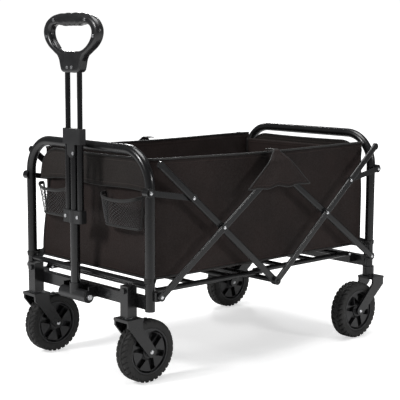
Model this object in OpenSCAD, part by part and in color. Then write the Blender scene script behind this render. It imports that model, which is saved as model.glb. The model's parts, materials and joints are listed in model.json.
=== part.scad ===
// Folding camp wagon. Millimetres, Z up, the ground at z = 0.
// X runs along the wagon with the pulling handle at -X. Y runs across it, and -Y is its left side.
// x = 0 is the middle of the overall length.

/* [End frames] */
// Distance between the front and rear posts, centre to centre
frame_length = 800; // [760:1:860]
// Distance between the left and right posts, centre to centre
frame_width = 480; // [440:1:540]
// Height of the centre of the top tubes
rim_height = 558; // [520:1:600]
// Outer diameter of the end frame tube
post_d = 24; // [20:0.5:28]
// Wall of every steel tube
tube_wall = 1.5; // [1:0.1:2]
// Centre line radius of the bends in the end frames
corner_r = 85; // [50:1:100]
// Height of the lower end of the front posts
front_post_z = 187; // [184:1:200]
// Height of the lower end of the rear posts
rear_post_z = 166; // [160:1:176]
// Height of the cross bar
crossbar_h = 28; // [20:1:34]
// Depth of the cross bar, front to back
crossbar_t = 20; // [14:1:22]
// Height of the centre of the cross bars
crossbar_z = 203; // [200:1:210]
// Diameter of the slim spreader tubes
spreader_d = 14; // [10:1:16]
// Height of the slim spreader tubes
spreader_z = 246; // [244:1:262]

/* [Side linkage] */
// How far the lower bar pivots stand inboard of the post centres
pivot_inset = 12; // [10:1:20]
// Height of the lower bar pivots
pivot_z = 221; // [217:1:228]
// Distance of each bar crossing from the middle of the wagon
cross_x = 188; // [150:1:200]
// Slope of the bars that rise to the middle, in degrees
rise = 35.5; // [35:0.5:37]
// Slope of the bars that fall to the middle, in degrees
fall = 40; // [39.5:0.5:41]
// Slope of the rising bars when the wagon is folded, in degrees
folded_rise = 83; // [80:0.5:84]
// Length of the falling bars beyond their crossing
fall_reach = 255; // [220:1:260]
// Height of the link pivots on the posts
link_z = 464; // [450:1:475]
// How far the link pivots stand outboard of the post centres
link_outset = 8; // [4:1:9]
// Width of the flattened bar tubes
bar_w = 18; // [14:0.5:20]
// Thickness of the flattened bar tubes
bar_t = 7; // [6:0.5:8]
// Gap between bars that pass each other
bar_gap = 0.5; // [0.3:0.1:1]
// Width of the short links
link_w = 14; // [10:0.5:16]
// Thickness of the short links
link_t = 3; // [2:0.5:4]
// Diameter of the pivot pins and rivets
pin_d = 6; // [5:0.5:7]
// Radial clearance of a pin in its hole
pin_fit = 0.06; // [0.02:0.01:0.1]
// Radial play of the middle pin in the rear falling bars
hub_play = 3.4; // [3.2:0.1:3.8]
// Diameter of the tube that joins the two lower middle pivots
hub_tube_d = 14; // [10:1:16]

/* [Floor] */
// How far the floor hinges stand inboard of the post centres
hinge_inset = 34; // [30:1:40]
// Height of the floor rails
rail_z = 221; // [220:1:228]
// Diameter of the floor rails
rail_d = 14; // [10:1:14]
// Distance of the front floor rails from the middle plane
rail_y = 205; // [180:1:207]
// Diameter of the floor rungs
rung_d = 12; // [8:1:13]
// Distance from the hinge to the first rung
rung_start = 20; // [16:1:40]
// Distance from the hinge to the last rung
rung_end = 262; // [230:1:270]

/* [Basket] */
// Distance of the side walls from the middle plane
side_y = 226; // [215:0.5:226.5]
// Thickness of the fabric
cloth_t = 2; // [1.5:0.1:2]
// Gap between sewn panels and their neighbours
cloth_gap = 0.3; // [0.3:0.1:1]
// Height of the upper edge of the basket
basket_top = 536; // [500:1:538]
// Height of the basket bottom over the floor rails
floor_lift = 24; // [10:1:32]
// How far the end walls stand inboard of the post centres
end_inset = 15; // [14:0.5:16]
// Height of the front overlap panel
overlap_h = 74; // [50:1:90]
// Half width of the lower edge of the side flap
flap_half_w = 112; // [90:1:130]
// Height of the lower edge of the side flap
flap_z = 449; // [440:1:470]
// Width of each cup pocket
pocket_w = 146; // [100:1:150]
// Distance of the middle of each cup pocket from the middle plane
pocket_y = 130; // [124:1:138]
// Depth of each cup pocket, front to back
pocket_depth = 34; // [30:1:36]
// Height of each cup pocket
pocket_h = 78; // [60:1:90]
// Height of the bottom of the cup pockets
pocket_z = 368; // [330:1:380]

/* [Wheels] */
// Diameter of the wheels
wheel_d = 154; // [140:1:156]
// Width of the tyres
tyre_w = 38; // [30:1:40]
// Thickness of the tyre ring
tyre_t = 20; // [14:1:24]
// Diameter of the axles
axle_d = 8; // [6:0.5:10]
// Distance of the front wheels from the middle plane
caster_y = 190; // [180:1:191]
// Distance of the rear wheels from the middle plane
rear_wheel_y = 250; // [249:1:260]
// Distance from the caster's upright axis to its axle
caster_trail = 50; // [40:1:52]
// How far the rear axles stand forward of the rear posts
rear_offset = 73; // [60:1:76]
// Thickness of the fork legs
fork_t = 6; // [5:0.5:6.5]
// Gap between the tyre and each fork leg
fork_gap = 2; // [1.5:0.1:2.5]
// Side of the square caster sleeves
sleeve_w = 28; // [24:1:32]
// Height of the caster sleeves
sleeve_h = 75; // [60:1:80]

/* [Handle] */
// Distance of the handle from the front posts
handle_dx = 37; // [36:0.5:40]
// Height of the handle's pivot
handle_z = 192; // [190:1:196]
// Length of the handle's pivot casting
handle_hub_l = 100; // [80:1:120]
// Diameter of the handle's pivot casting
handle_hub_d = 30; // [26:1:32]
// Diameter of the handle's lower tube
lower_tube_d = 24; // [20:1:25]
// Diameter of the handle's middle tube
middle_tube_d = 19; // [16:0.5:20]
// Diameter of the sliding rods
rod_d = 13; // [10:0.5:14]
// Distance between the sliding rods
rod_gap = 48; // [46:1:54]
// Radial clearance of the rods in their tubes
rod_fit = 0.08; // [0.03:0.01:0.1]
// Height of the lower edge of the clamp
clamp_z = 370; // [340:1:380]
// Height of the clamp
clamp_h = 31; // [24:1:36]
// Height of the lower edge of the collar
collar_z = 562; // [540:1:570]
// Height of the collar
collar_h = 38; // [30:1:44]
// Front to back thickness of the clamp and collar
collar_t = 22; // [20:1:24]
// Length of the tongue under the collar
tongue_l = 32; // [26:1:40]
// Thickness of the tongue
tongue_t = 5; // [4:0.5:6]
// Height of the lower edge of the grip with the handle pulled out
grip_z = 734; // [700:1:760]
// Overall width of the grip
grip_w = 216; // [180:1:230]
// Overall height of the grip
grip_h = 138; // [130:1:150]
// Thickness of the grip
grip_t = 26; // [22:1:30]

/* [Hidden] */
$fn = 48;
LEFT = -1;
RIGHT = 1;

black = [0.09, 0.09, 0.1];
cloth = [0.14, 0.13, 0.13];
steel = [0.8, 0.8, 0.82];
rubber = [0.06, 0.06, 0.06];

// Places along the wagon and across it
half = frame_length / 2;
post_y = frame_width / 2;
post_r = post_d / 2;
pivot_x = half - pivot_inset;
hinge_x = half - hinge_inset;
end_x = half - end_inset;

// The front links lie against the posts, and the bars in two layers outside them. The rear links
// lie just inside the outer layer.
front_link_y = post_y + post_r + bar_gap;
layer1 = front_link_y + link_t + bar_gap;
layer2 = layer1 + bar_t + bar_gap;
rear_link_y = layer2 - bar_gap - link_t;
link_x = half + link_outset;
head_t = 2.5;
head_d = 2 * pin_d;
eye_d = bar_w + 2;
hub_hole = pin_d + 2 * hub_play;
hub_eye_d = hub_hole + 9;
pin_hole = pin_d + 2 * pin_fit;

// Side linkage, on the left half of the drawing plane, as [x, z]
cross_z = pivot_z + (pivot_x - cross_x) * tan(rise);
top_z = pivot_z + pivot_x * tan(rise);
hub_z = cross_z - cross_x * tan(fall);
rise_low = (pivot_x - cross_x) / cos(rise);
rise_up = cross_x / cos(rise);
fall_low = cross_x / cos(fall);
folded_fall = acos(rise_up * cos(folded_rise) / fall_low);
cross_open = [link_x - cross_x, cross_z - link_z];
cross_shut = [link_outset + pivot_inset + rise_low * cos(folded_rise),
    pivot_z + rise_low * sin(folded_rise) - link_z];
fall_open = [-cos(fall), sin(fall)];
fall_shut = [-cos(folded_fall), sin(folded_fall)];
// The link pivot on the falling bar is the one point as far from the post in both states
link_reach = (cross_shut * cross_shut - cross_open * cross_open)
    / (2 * (cross_open * fall_open - cross_shut * fall_shut));
link_end = cross_open + link_reach * fall_open;
link_len = norm(link_end);
link_angle = atan2(link_end[1], link_end[0]);

// Floor: the rear rails lie just inside the front ones
rear_rail_y = rail_y - rail_d - 2;
rung_pitch = (rung_end - rung_start) / 2;

// Wheels, forks and sleeves
wheel_r = wheel_d / 2;
rim_r = wheel_r - tyre_t;
fork_in = tyre_w / 2 + fork_gap;
fork_out = fork_in + fork_t;
axle_hole = axle_d + 0.12;
sleeve_x = half + crossbar_t / 2 + sleeve_w / 2;
caster_axle_x = sleeve_x - caster_trail;
sleeve_z = front_post_z - 20;
crown_z = wheel_d + 3;
crown_h = 7;
crown_l = 48;
stem_d = 12;
rear_axle_x = half - rear_offset;

// Handle
handle_x = half + handle_dx;
ear_t = 3;
collar_w = rod_gap + rod_d + 11;
outer_tube_d = rod_d + 3;
rod_bore = rod_d + 2 * rod_fit;
rod_foot = collar_z - 40;
grip_r = grip_t / 2;
tongue_w = rod_gap - outer_tube_d - 2;
clamp_rivet_d = 5;
clamp_rivet_in = 2.2;
tongue_rivet = [-9, collar_z - tongue_l / 2 - 6];
screw_d = 4;
screw_points = [for (s = [-1, 1], p = [[grip_w * 0.29, grip_h - 13], [grip_w / 2 - 14, grip_h - 52],
    [9, 12]]) [s * p[0], p[1]]];
screw_head = [8, 1];

// The parts are drawn about the middle of the end frames, then moved so that x = 0 is the middle
// of the overall length, from the screws of the grip to the crowns of the rear forks
centre_shift = (handle_x + grip_r + screw_head[1] - half - crown_l / 2) / 2;

// Cloth
floor_z = rail_z + rail_d / 2 + floor_lift;
end_half_w = side_y - cloth_t / 2 - 3;

module place() {
    translate([centre_shift, 0, 0]) children();
}

module both_sides() {
    children();
    mirror([0, 1, 0]) children();
}

// Draws its child at the rear, where it is drawn for the front
module rear() {
    mirror([1, 0, 0]) children();
}

// A rod or tube along Y from y0 to y1, at x and z
module along_y(d, x, z, y0, y1) {
    translate([x, y0, z]) rotate([-90, 0, 0]) cylinder(d = d, h = y1 - y0);
}

// A rivet along Y whose shank runs from y0 to y1, with a round head outside y1
module rivet(x, z, y0, y1, d = pin_d) {
    along_y(d, x, z, y0, y1 + 0.01);
    translate([x, y1, z]) rotate([-90, 0, 0]) rotate_extrude() {
        intersection() {
            translate([0, -d * 0.6]) circle(r = d * 0.6 + head_t);
            square([d, head_t]);
        }
    }
}

// The outline of a flattened tube: a slot w across and t thick, along Y and Z
module slot_outline(w, t) {
    square([w - t, t], center = true);
    for (s = [-1, 1]) translate([s * (w - t) / 2, 0]) circle(d = t);
}

// A flattened tube from point a to point b in the XZ plane, its inner face at y0, with drilled eyes
// holes: [distance from a, hole diameter, eye diameter]
module bar(a, b, y0, holes) {
    len = norm(b - a);
    slope = atan2(b[1] - a[1], b[0] - a[0]);
    mid = y0 + bar_t / 2;
    translate([a[0], 0, a[1]]) rotate([0, -slope, 0]) difference() {
        union() {
            translate([0, mid, 0]) rotate([0, 90, 0]) linear_extrude(len) slot_outline(bar_w, bar_t);
            for (h = holes) along_y(h[2], h[0], 0, y0, y0 + bar_t);
            for (x = [0, len]) along_y(bar_w, x, 0, y0, y0 + bar_t);
        }
        for (h = holes) along_y(h[1], h[0], 0, y0 - 1, y0 + bar_t + 1);
    }
}

// An inverted U of round tube in the YZ plane at x, with its legs down to foot_z
module loop_tube(d, x, foot_z) {
    bend_y = post_y - corner_r;
    bend_z = rim_height - corner_r;
    along_y(d, x, rim_height, -bend_y, bend_y);
    both_sides() {
        translate([x, post_y, foot_z]) cylinder(d = d, h = bend_z - foot_z);
        translate([x, bend_y, bend_z]) rotate([90, 0, 90])
            rotate_extrude(angle = 90) translate([corner_r, 0]) circle(d = d);
    }
}

module hollow_loop(x, foot_z) {
    difference() {
        loop_tube(post_d, x, foot_z);
        loop_tube(post_d - 2 * tube_wall, x, foot_z - 1);
    }
}

module front_loop() color(black) hollow_loop(-half, front_post_z);

module rear_loop() color(black) hollow_loop(half, rear_post_z);

module front_post_plugs() {
    color(black) both_sides() {
        translate([-half, post_y, front_post_z - 3]) cylinder(d = post_d, h = 3);
        translate([-half, post_y, front_post_z]) cylinder(d = post_d - 2 * tube_wall, h = 12);
    }
}

// A square tube along Y that reaches the posts, and a slim round spreader above it
module cross_tubes(x) {
    reach = post_y - post_r * 0.6;
    difference() {
        translate([x - crossbar_t / 2, -reach, crossbar_z - crossbar_h / 2])
            cube([crossbar_t, 2 * reach, crossbar_h]);
        translate([x - crossbar_t / 2 + tube_wall, -reach - 1, crossbar_z - crossbar_h / 2 + tube_wall])
            cube([crossbar_t - 2 * tube_wall, 2 * reach + 2, crossbar_h - 2 * tube_wall]);
        both_sides() translate([x, post_y, crossbar_z - crossbar_h])
            cylinder(d = post_d, h = 2 * crossbar_h);
    }
    difference() {
        along_y(spreader_d, x, spreader_z, -reach, reach);
        both_sides() translate([x, post_y, spreader_z - spreader_d])
            cylinder(d = post_d, h = 2 * spreader_d);
    }
}

module front_cross_tubes() color(black) cross_tubes(-half);

module rear_cross_tubes() color(black) cross_tubes(half);

// Lugs on the posts for the lower bars and the links, and lugs on the cross bar for the floor
// rails. The outer faces of the first two are at lug_y and at link_lug_y. The floor lug stands just
// outside the rail that is at distance rail.
module lugs(lug_y, link_lug_y, rail) {
    lug_r = 11;
    lug_t = 4;
    lug_foot = 5;
    floor_lug_y = rail + rail_d / 2 + 1;
    both_sides() {
        difference() {
            union() {
                along_y(2 * lug_r, -pivot_x, pivot_z, post_y, lug_y);
                translate([-half, post_y, pivot_z - lug_r]) cube([pivot_inset, lug_y - post_y, 2 * lug_r]);
            }
            post_cut(pivot_z);
            along_y(pin_hole, -pivot_x, pivot_z, post_y - 1, lug_y + 1);
        }
        difference() {
            along_y(2 * lug_r, -link_x, link_z, post_y - post_r / 2, link_lug_y);
            post_cut(link_z);
            along_y(pin_hole, -link_x, link_z, post_y - post_r, link_lug_y + 1);
        }
        difference() {
            union() {
                along_y(rail_d, -hinge_x, rail_z, floor_lug_y, floor_lug_y + lug_t);
                translate([-half + crossbar_t / 2, floor_lug_y, crossbar_z - lug_foot])
                    cube([hinge_inset - crossbar_t / 2, lug_t, rail_z - crossbar_z + lug_foot]);
            }
            along_y(pin_hole, -hinge_x, rail_z, rail, rail + rail_d + lug_t);
        }
    }
}

// The space of the post near height z, which is cut out of what is welded to it
module post_cut(z) {
    translate([-half, post_y, z - 30]) cylinder(d = post_d, h = 60);
}

module front_brackets() color(black) lugs(layer2 - bar_gap, front_link_y - bar_gap, rail_y);

module rear_brackets() {
    color(black) rear() lugs(layer1 - bar_gap, rear_link_y - bar_gap, rear_rail_y);
}

// Pins of one end frame: lower bars, floor rails and links
module frame_pins(bar_y, rail, link_y) {
    both_sides() {
        difference() {
            union() {
                rivet(-pivot_x, pivot_z, post_y, bar_y + bar_t);
                rivet(-link_x, link_z, post_y, link_y + link_t);
            }
            post_cut(pivot_z);
            post_cut(link_z);
        }
        rivet(-hinge_x, rail_z, rail - rail_d / 2, rail + rail_d / 2 + 5);
    }
}

module front_frame_pins() color(steel) frame_pins(layer2, rail_y, front_link_y);

module rear_frame_pins() color(steel) rear() frame_pins(layer1, rear_rail_y, rear_link_y);

// Square sleeves on the front of the cross bar, each with a small ear at its upper end
module caster_sleeves() {
    color(black) both_sides() difference() {
        union() {
            translate([-sleeve_x - sleeve_w / 2, caster_y - sleeve_w / 2, sleeve_z])
                cube([sleeve_w, sleeve_w, sleeve_h]);
            translate([-sleeve_x, caster_y, sleeve_z + sleeve_h - 12])
                rotate([0, -90, 0]) cylinder(d = 14, h = sleeve_w / 2 + 5);
        }
        translate([-sleeve_x, caster_y, sleeve_z - 1]) cylinder(d = stem_d + 0.12, h = sleeve_h - 14);
    }
}

// Two ears on the cross bar that hold the handle's pivot bolt
module handle_bracket() {
    ear_y = handle_hub_l / 2 + 0.3;
    back = -half - crossbar_t / 2;
    color(black) difference() {
        union() {
            both_sides() {
                along_y(handle_hub_d, -handle_x, handle_z, ear_y, ear_y + ear_t);
                translate([-handle_x, ear_y, crossbar_z - crossbar_h / 2 + 1])
                    cube([handle_x + back, ear_t, crossbar_h - 2]);
            }
            translate([back - ear_t, -ear_y - ear_t, crossbar_z - crossbar_h / 2 + 1])
                cube([ear_t, 2 * (ear_y + ear_t), crossbar_h - 2]);
        }
        along_y(axle_d, -handle_x, handle_z, -handle_hub_l, handle_hub_l);
    }
}

module handle_bolt() {
    end = handle_hub_l / 2 + 0.3 + ear_t;
    color(steel) {
        along_y(axle_d, -handle_x, handle_z, -end - 6, end);
        rivet(-handle_x, handle_z, end - 1, end, axle_d);
        translate([-handle_x, -end, handle_z]) rotate([90, 0, 0]) cylinder(d = 15, h = 5, $fn = 6);
    }
}

// One end wall: a flat sheet with the upper overlap that hangs outside it
module end_wall() {
    top_half_w = end_half_w - 4;
    overlap_t = end_inset - post_r - cloth_t / 2 - 0.2;
    translate([-end_x - cloth_t / 2, 0, 0]) rotate([90, 0, 90]) linear_extrude(cloth_t)
        polygon([[-end_half_w, floor_z], [end_half_w, floor_z],
            [top_half_w, basket_top], [-top_half_w, basket_top]]);
    translate([-end_x - cloth_t / 2 - overlap_t, -top_half_w, basket_top - overlap_h])
        cube([overlap_t + 0.5, 2 * top_half_w, overlap_h]);
}

module basket_front() color(cloth) end_wall();

module basket_rear() color(cloth) rear() end_wall();

// A side wall between the end walls, along the inner side of the posts
module side_wall(side) {
    reach = end_x - cloth_t / 2 - cloth_gap;
    color(cloth) translate([-reach, side * side_y - cloth_t / 2, floor_z])
        cube([2 * reach, cloth_t, basket_top - floor_z]);
}

module basket_side_left() side_wall(LEFT);

module basket_side_right() side_wall(RIGHT);

module basket_bottom() {
    reach = end_x - cloth_t / 2 - cloth_gap;
    wide = side_y - cloth_t / 2 - cloth_gap;
    color(cloth) translate([-reach, -wide, floor_z]) cube([2 * reach, 2 * wide, cloth_t]);
}

// An open pocket of netting, round in front, on the outside of the front wall
module cup_pocket(side) {
    wall = 2;
    flat_w = pocket_w - 2 * pocket_depth;
    inner_x = -end_x - cloth_t / 2 - cloth_gap;
    color(cloth) translate([inner_x, side * pocket_y, pocket_z]) difference() {
        pocket_form(flat_w, pocket_depth, pocket_h);
        translate([-wall, 0, wall]) pocket_form(flat_w, pocket_depth - 2 * wall, pocket_h);
    }
}

// A flat-backed half round block, r deep and flat_w + 2 r wide
module pocket_form(flat_w, r, h) {
    linear_extrude(h) intersection() {
        union() {
            square([2 * r, flat_w], center = true);
            for (s = [-1, 1]) translate([0, s * flat_w / 2]) circle(r);
        }
        translate([-2 * r, -flat_w / 2 - 2 * r]) square([2 * r, flat_w + 4 * r]);
    }
}

module cup_pocket_left() cup_pocket(LEFT);

module cup_pocket_right() cup_pocket(RIGHT);

// One fork leg in the XZ plane, from the crown at head_x down to the axle at axle_x
module leg_outline(head_x, axle_x, head_z) {
    leg_end = 13;
    head_half = 22;
    foot = [axle_x, wheel_r];
    run = [head_x - axle_x, head_z - wheel_r];
    across = leg_end * [run[1], -run[0]] / norm(run);
    polygon([[head_x - head_half, head_z], [head_x - head_half, head_z - 12], foot - across,
        foot + across, [head_x + head_half, head_z - 18], [head_x + head_half, head_z]]);
    translate(foot) circle(leg_end);
}

// A fork around the wheel at y: two legs and the crown over the tyre. head_x is the middle of the
// crown, and crown_top the height of its upper face.
module fork(head_x, axle_x, y, crown_top) {
    difference() {
        union() {
            for (s = [-1, 1]) translate([0, y + s * (fork_in + fork_t / 2) + fork_t / 2, 0])
                rotate([90, 0, 0]) linear_extrude(fork_t) leg_outline(head_x, axle_x, crown_z + 1);
            translate([head_x - crown_l / 2, y - fork_out, crown_z])
                cube([crown_l, 2 * fork_out, crown_top - crown_z]);
        }
        along_y(axle_hole, axle_x, wheel_r, y - fork_out - 1, y + fork_out + 1);
    }
}

module caster_fork(side) {
    color(black) difference() {
        fork(-sleeve_x, -caster_axle_x, side * caster_y, crown_z + crown_h);
        translate([-sleeve_x, side * caster_y, crown_z - 1]) cylinder(d = stem_d, h = crown_h + 2);
    }
}

module caster_fork_left() caster_fork(LEFT);

module caster_fork_right() caster_fork(RIGHT);

// The upright pin of a caster, which turns in the sleeve on its bearing collar, and its axle
module caster_pins(side) {
    stem_top = sleeve_z + sleeve_h - 20;
    bearing_d = 24;
    color(steel) translate([-sleeve_x, side * caster_y, 0]) {
        translate([0, 0, crown_z]) cylinder(d = stem_d, h = stem_top - crown_z);
        translate([0, 0, crown_z + crown_h]) cylinder(d = bearing_d, h = sleeve_z - crown_z - crown_h - 0.3);
    }
    axle(-caster_axle_x, side * caster_y);
}

module caster_pins_left() caster_pins(LEFT);

module caster_pins_right() caster_pins(RIGHT);

// A fixed fork under a rear post. Its crown carries a round socket that the post stands in.
module rear_fork(side) {
    y = side * rear_wheel_y;
    color(black) difference() {
        union() {
            fork(half, rear_axle_x, y, crown_z + 6);
            translate([half, side * post_y, crown_z + 6]) cylinder(d = post_d + 8, h = 26);
        }
        translate([half, side * post_y, rear_post_z]) cylinder(d = post_d, h = 60);
    }
}

module rear_fork_left() rear_fork(LEFT);

module rear_fork_right() rear_fork(RIGHT);

// An axle with a round head on each side of its fork
module axle(x, y) {
    color(steel) {
        along_y(axle_d, x, wheel_r, y - fork_out, y + fork_out);
        translate([0, y, 0]) both_sides() rivet(x, wheel_r, fork_out - 1, fork_out, axle_d);
    }
}

module rear_axles() {
    axle(rear_axle_x, LEFT * rear_wheel_y);
    axle(rear_axle_x, RIGHT * rear_wheel_y);
}

// The tyre: a rubber ring with rounded shoulders
module tyre(x, y) {
    shoulder = 5;
    color(rubber) translate([x, y, wheel_r]) rotate([90, 0, 0]) rotate_extrude($fn = 96)
        translate([rim_r, -tyre_w / 2]) {
            square([tyre_t - shoulder, tyre_w]);
            translate([tyre_t - shoulder - 0.01, shoulder]) square([shoulder + 0.01, tyre_w - 2 * shoulder]);
            for (s = [shoulder, tyre_w - shoulder]) translate([tyre_t - shoulder, s]) circle(shoulder);
        }
}

module front_tyre_left() tyre(-caster_axle_x, LEFT * caster_y);

module front_tyre_right() tyre(-caster_axle_x, RIGHT * caster_y);

module rear_tyre_left() tyre(rear_axle_x, LEFT * rear_wheel_y);

module rear_tyre_right() tyre(rear_axle_x, RIGHT * rear_wheel_y);

// The moulded rim: a band, a boss and six wedge shaped spokes
module rim(x, y) {
    band = 5;
    boss_r = 15;
    spoke_w = 9;
    web_w = tyre_w - 12;
    color(black) translate([x, y, wheel_r]) rotate([90, 0, 0]) difference() {
        union() {
            difference() {
                cylinder(r = rim_r, h = tyre_w - 4, center = true);
                cylinder(r = rim_r - band, h = tyre_w, center = true);
            }
            cylinder(r = boss_r, h = tyre_w - 1, center = true);
            for (i = [0:5]) rotate(i * 60) translate([boss_r - 2, -spoke_w / 2, -web_w / 2])
                cube([rim_r - band / 2 - boss_r + 2, spoke_w, web_w]);
            cylinder(r = rim_r - band / 2, h = 4, center = true);
        }
        cylinder(d = axle_hole, h = tyre_w + 2, center = true);
    }
}

module front_rim_left() rim(-caster_axle_x, LEFT * caster_y);

module front_rim_right() rim(-caster_axle_x, RIGHT * caster_y);

module rear_rim_left() rim(rear_axle_x, LEFT * rear_wheel_y);

module rear_rim_right() rim(rear_axle_x, RIGHT * rear_wheel_y);

// Bars of the front half. The rising bars run from the lower pivot to the top middle pivot.
module rising_bars(y0) {
    both_sides() bar([-pivot_x, pivot_z], [0, top_z], y0,
        [[0, pin_hole, eye_d], [rise_low, pin_hole, eye_d], [rise_low + rise_up, pin_hole, eye_d]]);
}

// The falling bars run from the lower middle pivot, at the hub, past the crossing to the corner.
module falling_bars(y0, end_hole) {
    end = [-cross_x, cross_z] + fall_reach * fall_open;
    both_sides() bar([0, hub_z], end, y0,
        [[0, end_hole, hub_eye_d], [fall_low, pin_hole, eye_d], [fall_low + link_reach, pin_hole, eye_d]]);
}

module front_rising_bars() color(black) rising_bars(layer2);

module rear_rising_bars() color(black) rear() rising_bars(layer1);

module front_falling_bars() color(black) falling_bars(layer1, pin_hole);

module rear_falling_bars() {
    color(black) rear() falling_bars(layer2, hub_hole);
}

// Rivets through both bars at a crossing, headed on both faces
module bar_rivets(x, z) {
    both_sides() {
        rivet(x, z, layer1, layer2 + bar_t);
        along_y(head_d, x, z, layer1 - bar_gap, layer1 - 0.1);
        along_y(pin_d, x, z, layer1 - bar_gap, layer1 + 1);
    }
}

module front_cross_rivets() color(steel) bar_rivets(-cross_x, cross_z);

// The rear crossings and the top middle pivots
module rear_bar_rivets() {
    color(steel) bar_rivets(cross_x, cross_z);
    color(steel) bar_rivets(0, top_z);
}

// The tube under the basket that joins both lower middle pivots, with a pin and washer at each end
module hub_tube() {
    color(black) {
        difference() {
            along_y(hub_tube_d, 0, hub_z, -layer1 + bar_gap, layer1 - bar_gap);
            along_y(hub_tube_d - 2 * tube_wall, 0, hub_z, -layer1 + 12, layer1 - 12);
        }
        both_sides() {
            rivet(0, hub_z, layer1 - bar_gap - 1, layer2 + bar_t);
            along_y(hub_eye_d - 2, 0, hub_z, layer1 - bar_gap - 2, layer1 - 0.3);
        }
    }
}

// A short flat link from a post to a falling bar
module links(y0) {
    both_sides() translate([-link_x, y0, link_z]) rotate([0, -link_angle, 0]) difference() {
        union() {
            translate([0, 0, -link_w / 2]) cube([link_len, link_t, link_w]);
            for (x = [0, link_len]) along_y(link_w, x, 0, 0, link_t);
        }
        for (x = [0, link_len]) along_y(pin_hole, x, 0, -1, link_t + 1);
    }
}

module front_links() color(black) links(front_link_y);

module rear_links() color(black) rear() links(rear_link_y);

// Rivets in the falling bars where the links end. Each stops just short of the link behind it.
module link_rivets(y0) {
    both_sides() rivet(-link_x + link_end[0], link_z + link_end[1], y0 - bar_gap + 0.3, y0 + bar_t);
}

module front_link_rivets() color(steel) link_rivets(layer1);

module rear_link_rivets() color(steel) rear() link_rivets(layer2);

// Half of the folding floor frame: two rails from the hinge to the middle, and three rungs
module floor_frame(rail) {
    eye = rail_d - 2;
    difference() {
        union() {
            both_sides() {
                translate([-hinge_x, rail, rail_z]) rotate([0, 90, 0]) cylinder(d = rail_d, h = hinge_x);
                for (x = [-hinge_x, 0]) along_y(eye, x, rail_z, rail - eye / 2, rail + eye / 2);
            }
            for (i = [0:2]) along_y(rung_d, -hinge_x + rung_start + i * rung_pitch, rail_z, -rail, rail);
        }
        both_sides() along_y(pin_hole, -hinge_x, rail_z, rail - rail_d, rail + rail_d);
    }
}

module floor_frame_front() color(black) floor_frame(rail_y);

module floor_frame_rear() color(black) rear() floor_frame(rear_rail_y);

// A cloth flap on each side. It starts on the outside of the side wall, runs out over the top
// middle pivot, and hangs down in front of it.
module side_flaps() {
    apex_z = basket_top + 12;
    apex_w = 24;
    flap_y = layer2 + bar_t + head_t + 2;
    root_y = side_y + cloth_t / 2 + cloth_gap;
    color(cloth) both_sides() {
        translate([0, flap_y + cloth_t, 0]) rotate([90, 0, 0]) linear_extrude(cloth_t)
            polygon([[-flap_half_w, flap_z], [flap_half_w, flap_z],
                [apex_w / 2, apex_z], [-apex_w / 2, apex_z]]);
        translate([-apex_w / 2, root_y, apex_z - cloth_t]) cube([apex_w, flap_y - root_y + 1, cloth_t]);
        translate([-apex_w / 2, root_y, basket_top - 2 * cloth_t])
            cube([apex_w, cloth_t, apex_z - basket_top + 2 * cloth_t]);
    }
}

// The casting that turns on the pivot bolt, with a socket for the lower tube
module handle_hub() {
    socket_h = 14;
    color(black) translate([-handle_x, 0, handle_z]) difference() {
        union() {
            along_y(handle_hub_d, 0, 0, -handle_hub_l / 2, handle_hub_l / 2);
            cylinder(d = lower_tube_d + 6, h = handle_hub_d / 2 + socket_h);
        }
        along_y(axle_hole, 0, 0, -handle_hub_l, handle_hub_l);
        translate([0, 0, handle_hub_d / 2 - 2]) cylinder(d = lower_tube_d, h = handle_hub_d);
    }
}

// The lower tube, the middle tube and the two outer tubes of the handle
module handle_tubes() {
    lower_z = handle_z + handle_hub_d / 2 - 2;
    color(black) translate([-handle_x, 0, 0]) {
        translate([0, 0, lower_z])
            round_tube(lower_tube_d, lower_tube_d - 2 * tube_wall, clamp_z + clamp_h / 2 - lower_z);
        translate([0, 0, clamp_z + clamp_h / 2]) round_tube(middle_tube_d, middle_tube_d - 2 * tube_wall,
            collar_z + collar_h / 2 - clamp_z - clamp_h / 2);
        both_sides() translate([0, rod_gap / 2, clamp_z + 4])
            round_tube(outer_tube_d, rod_bore, collar_z + 12 - clamp_z - 4);
    }
}

module round_tube(outer, inner, h) {
    difference() {
        cylinder(d = outer, h = h);
        translate([0, 0, -1]) cylinder(d = inner, h = h + 2);
    }
}

// A rounded block across the handle, w wide, with its lower face at z = 0
module cross_block(w, t, h) {
    corner = 6;
    linear_extrude(h) {
        square([t, w - 2 * corner], center = true);
        square([t - 2 * corner, w], center = true);
        for (x = [-1, 1], y = [-1, 1])
            translate([x * (t / 2 - corner), y * (w / 2 - corner)]) circle(corner);
    }
}

// The clamp that ties the outer tubes to the lower tube, with two rivets in front
module handle_clamp() {
    color(black) translate([-handle_x, 0, clamp_z]) difference() {
        union() {
            cross_block(collar_w, collar_t, clamp_h);
            cylinder(d = lower_tube_d + 4, h = clamp_h);
        }
        translate([0, 0, -1]) cylinder(d = lower_tube_d, h = clamp_h / 2 + 1);
        translate([0, 0, clamp_h / 2 - 1]) cylinder(d = middle_tube_d, h = clamp_h);
        both_sides() translate([0, rod_gap / 2, 4]) cylinder(d = outer_tube_d, h = clamp_h);
        both_sides() translate([-collar_t / 2, rod_gap / 2, clamp_h / 2]) rivet_hole();
    }
}

// The hole of a handle rivet, at a face that looks forward
module rivet_hole() {
    translate([-1, 0, 0]) rotate([0, 90, 0]) cylinder(d = clamp_rivet_d, h = clamp_rivet_in + 1);
}

// Two rivets in the clamp and one in the tongue of the collar
module clamp_rivets() {
    color(steel) {
        both_sides() handle_rivet(rod_gap / 2, clamp_z + clamp_h / 2, 9);
        handle_rivet(tongue_rivet[0], tongue_rivet[1], 8);
    }
}

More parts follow.
